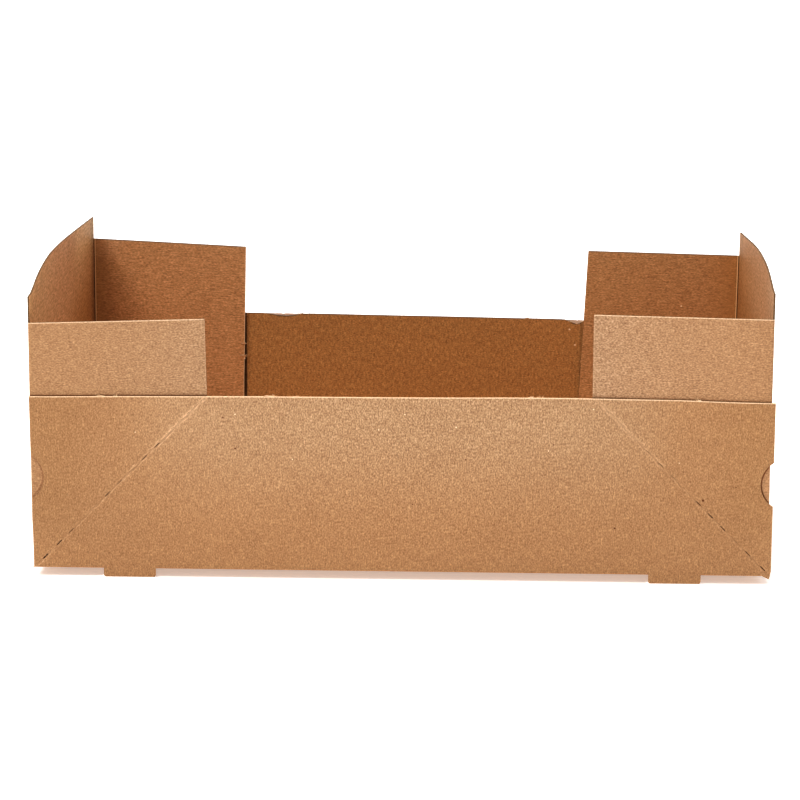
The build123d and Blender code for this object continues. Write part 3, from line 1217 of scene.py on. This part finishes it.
def studio_white():
    """The pale light table, lit a little from within and more so towards its far edge."""
    material, tree, shader = new_finish("studio_white")
    where = node(tree, "ShaderNodeTexCoord").outputs["Object"]
    tone = mixed(tree, noise(tree, where, 0.4), (0.93, 0.93, 0.93, 1), (0.96, 0.96, 0.96, 1))
    tree.links.new(tone, shader.inputs["Base Color"])
    shader.inputs["Roughness"].default_value = 0.8
    glow = ranged(tree, length_of(tree, where), 0.5, 3.0, 0.4, 1.0)
    tree.links.new(glow, shader.inputs["Emission Strength"])
    shader.inputs["Emission Color"].default_value = (1.0, 1.0, 1.0, 1)
    return material


# The studio


def table():
    """A plain pale table top, so wide that its far edge is out of sight."""
    top = bmesh.new()
    bmesh.ops.create_grid(top, x_segments=1, y_segments=1, size=20.0)
    piece = piece_from(top, "studio_table", [studio_white()])
    return piece


def softbox(name, place, size, power):
    """A square softbox at a place, turned to the tray."""
    lamp = bpy.data.lights.new(name, "AREA")
    lamp.shape = "RECTANGLE"
    lamp.size = lamp.size_y = size
    lamp.energy = power
    light = bpy.data.objects.new(name, lamp)
    light.location = place
    light.rotation_mode = "QUATERNION"
    light.rotation_quaternion = (Vector(LIGHT_AIM) - Vector(place)).to_track_quat("-Z", "Y")
    light.visible_camera = False
    bpy.context.scene.collection.objects.link(light)


def room_light(strength):
    """Even light from the pale room all round."""
    world = bpy.data.worlds.new("pale_room")
    world.use_nodes = True
    sky = world.node_tree.nodes["Background"]
    sky.inputs["Color"].default_value = (1.0, 1.0, 1.0, 1)
    sky.inputs["Strength"].default_value = strength
    bpy.context.scene.world = world


def camera():
    """The photograph's camera, a long lens from a little above."""
    lens = bpy.data.cameras.new("camera")
    lens.sensor_width = SENSOR
    lens.lens = FOCAL_LENGTH
    lens.clip_start, lens.clip_end = 0.01, 100.0
    seen = bpy.data.objects.new("camera", lens)
    turn = Matrix.Rotation(-CAMERA_YAW, 4, "Z")
    turn = turn @ Matrix.Rotation(math.pi / 2 - CAMERA_PITCH, 4, "X")
    turn = turn @ Matrix.Rotation(CAMERA_ROLL, 4, "Z")
    seen.matrix_world = Matrix.Translation(CAMERA_PLACE) @ turn
    bpy.context.scene.collection.objects.link(seen)
    bpy.context.scene.camera = seen


tray = piece_from(tray_board(), "tray_board", [
    kraft("outer_kraft", rim=0.85),
    kraft("inner_kraft", rim=0.8, rim_colour=SHADED_RIM, end_rim=0.9, stretch=2.2, streaks=0.5),
    kraft("cut_board", rim=0.7, shine=0.1),
])
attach(tray, "root")
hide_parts("tray_box")

damage = ((edge_fibres(), "edge_fibres", PALE_PULP), (torn_lips(), "torn_lips", GREY_PULP))
for made, name, colour in damage:
    piece = piece_from(made, name, [bare_pulp(name + "_pulp", colour)])
    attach(piece, "root")

table()
camera()
room_light(ROOM_LIGHT)
for name, place, size, power in SOFTBOXES:
    softbox(name, place, size, power)
view = bpy.context.scene.view_settings
view.view_transform = "Standard"
view.gamma = TONE_CURVE
